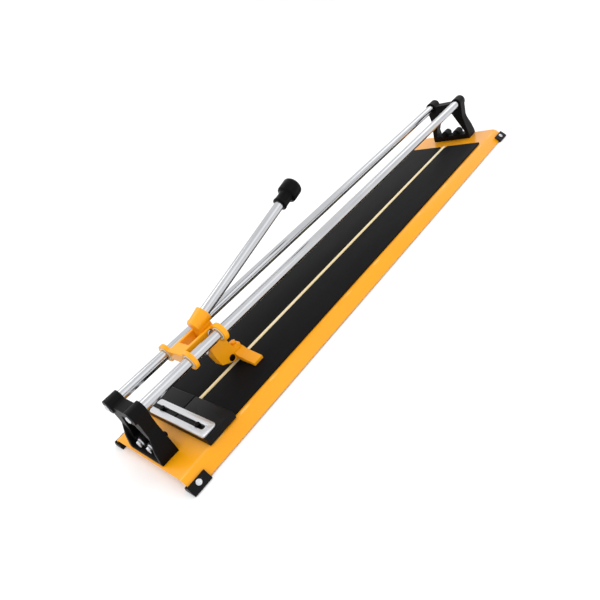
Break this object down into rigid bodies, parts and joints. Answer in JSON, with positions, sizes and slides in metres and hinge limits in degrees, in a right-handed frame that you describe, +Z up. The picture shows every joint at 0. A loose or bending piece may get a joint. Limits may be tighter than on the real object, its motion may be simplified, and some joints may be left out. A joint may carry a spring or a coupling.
{
  "type": "manual tile cutter",
  "caption": "Push-type tile cutter: long steel bed with rubber pads, end brackets, twin guide bars and a lever carriage with a scoring wheel and breaker foot.",
  "frame": {"origin": "on the ground, under the middle of the bed", "axes": "+X across the bed to the right, +Y along the bed from the ruler end to the far end, +Z up"},
  "size_m": [0.214, 0.953, 0.1981],
  "materials": {
    "yellow_paint": "gloss orange-yellow paint on pressed steel and castings",
    "pale_yellow_paint": "gloss pale yellow paint on a steel strip",
    "black_rubber": "matt black rubber sheet",
    "black_paint": "satin black paint on cast metal",
    "black_plastic": "moulded black plastic with a fine grain",
    "chrome_plate": "bright chrome plate",
    "zinc_plate": "bright zinc-plated steel",
    "aluminium": "brushed aluminium",
    "tungsten_carbide": "ground hard metal",
    "nylon": "natural off-white nylon"
  },
  "bodies": {
    "bed": {"base_plate": "yellow_paint", "breaker_strip": "pale_yellow_paint", "pad_left": "black_rubber", "pad_right": "black_rubber", "fence": "black_plastic", "ruler_screw_left": "black_paint", "ruler_screw_right": "black_paint", "bracket_near": "black_paint", "bracket_far": "black_paint", "bracket_bolt_near_left": "zinc_plate", "bracket_bolt_near_right": "zinc_plate", "bracket_bolt_far_left": "zinc_plate", "bracket_bolt_far_right": "zinc_plate", "bracket_nut_near_left": "black_paint", "bracket_nut_near_right": "black_paint", "bracket_nut_far_left": "black_paint", "bracket_nut_far_right": "black_paint", "guide_bar_left": "chrome_plate", "guide_bar_right": "chrome_plate", "bar_screw_near_left": "zinc_plate", "bar_screw_near_right": "zinc_plate", "bar_screw_far_left": "zinc_plate", "bar_screw_far_right": "zinc_plate", "foot_near_left": "black_plastic", "foot_near_right": "black_plastic", "foot_far_left": "black_plastic", "foot_far_right": "black_plastic", "foot_screw_near_left": "zinc_plate", "foot_screw_near_right": "zinc_plate", "foot_screw_far_left": "zinc_plate", "foot_screw_far_right": "zinc_plate"},
    "ruler": {"ruler": "aluminium"},
    "carriage": {"carriage_frame": "yellow_paint", "bush_near_left": "nylon", "bush_near_right": "nylon", "bush_far_left": "nylon", "bush_far_right": "nylon", "pivot_pin": "zinc_plate", "pivot_clip": "zinc_plate", "pivot_washer_left": "zinc_plate", "pivot_washer_right": "zinc_plate"},
    "lever": {"lever_arm": "yellow_paint", "stop_screw": "zinc_plate", "breaker_foot": "yellow_paint", "breaker_screw": "yellow_paint", "wheel_axle": "black_paint", "axle_nut": "zinc_plate", "handle_tube": "chrome_plate", "knob": "black_plastic"},
    "wheel": {"scoring_wheel": "tungsten_carbide"}
  },
  "joints": [
    {"name": "carriage_slide", "type": "slide", "parent": "bed", "child": "carriage", "axis": [0, 1, 0], "range_m": [-0.062, 0.655]},
    {"name": "lever_pivot", "type": "hinge", "parent": "carriage", "child": "lever", "pos_m": [0, -0.304, 0.098], "axis": [1, 0, 0], "range_deg": [0, 45]},
    {"name": "wheel_spin", "type": "hinge", "parent": "lever", "child": "wheel", "pos_m": [0, -0.2932, 0.0379], "axis": [1, 0, 0], "continuous": true},
    {"name": "ruler_slide", "type": "slide", "parent": "bed", "child": "ruler", "axis": [1, 0, 0], "range_m": [-0.012, 0.018]}
  ]
}
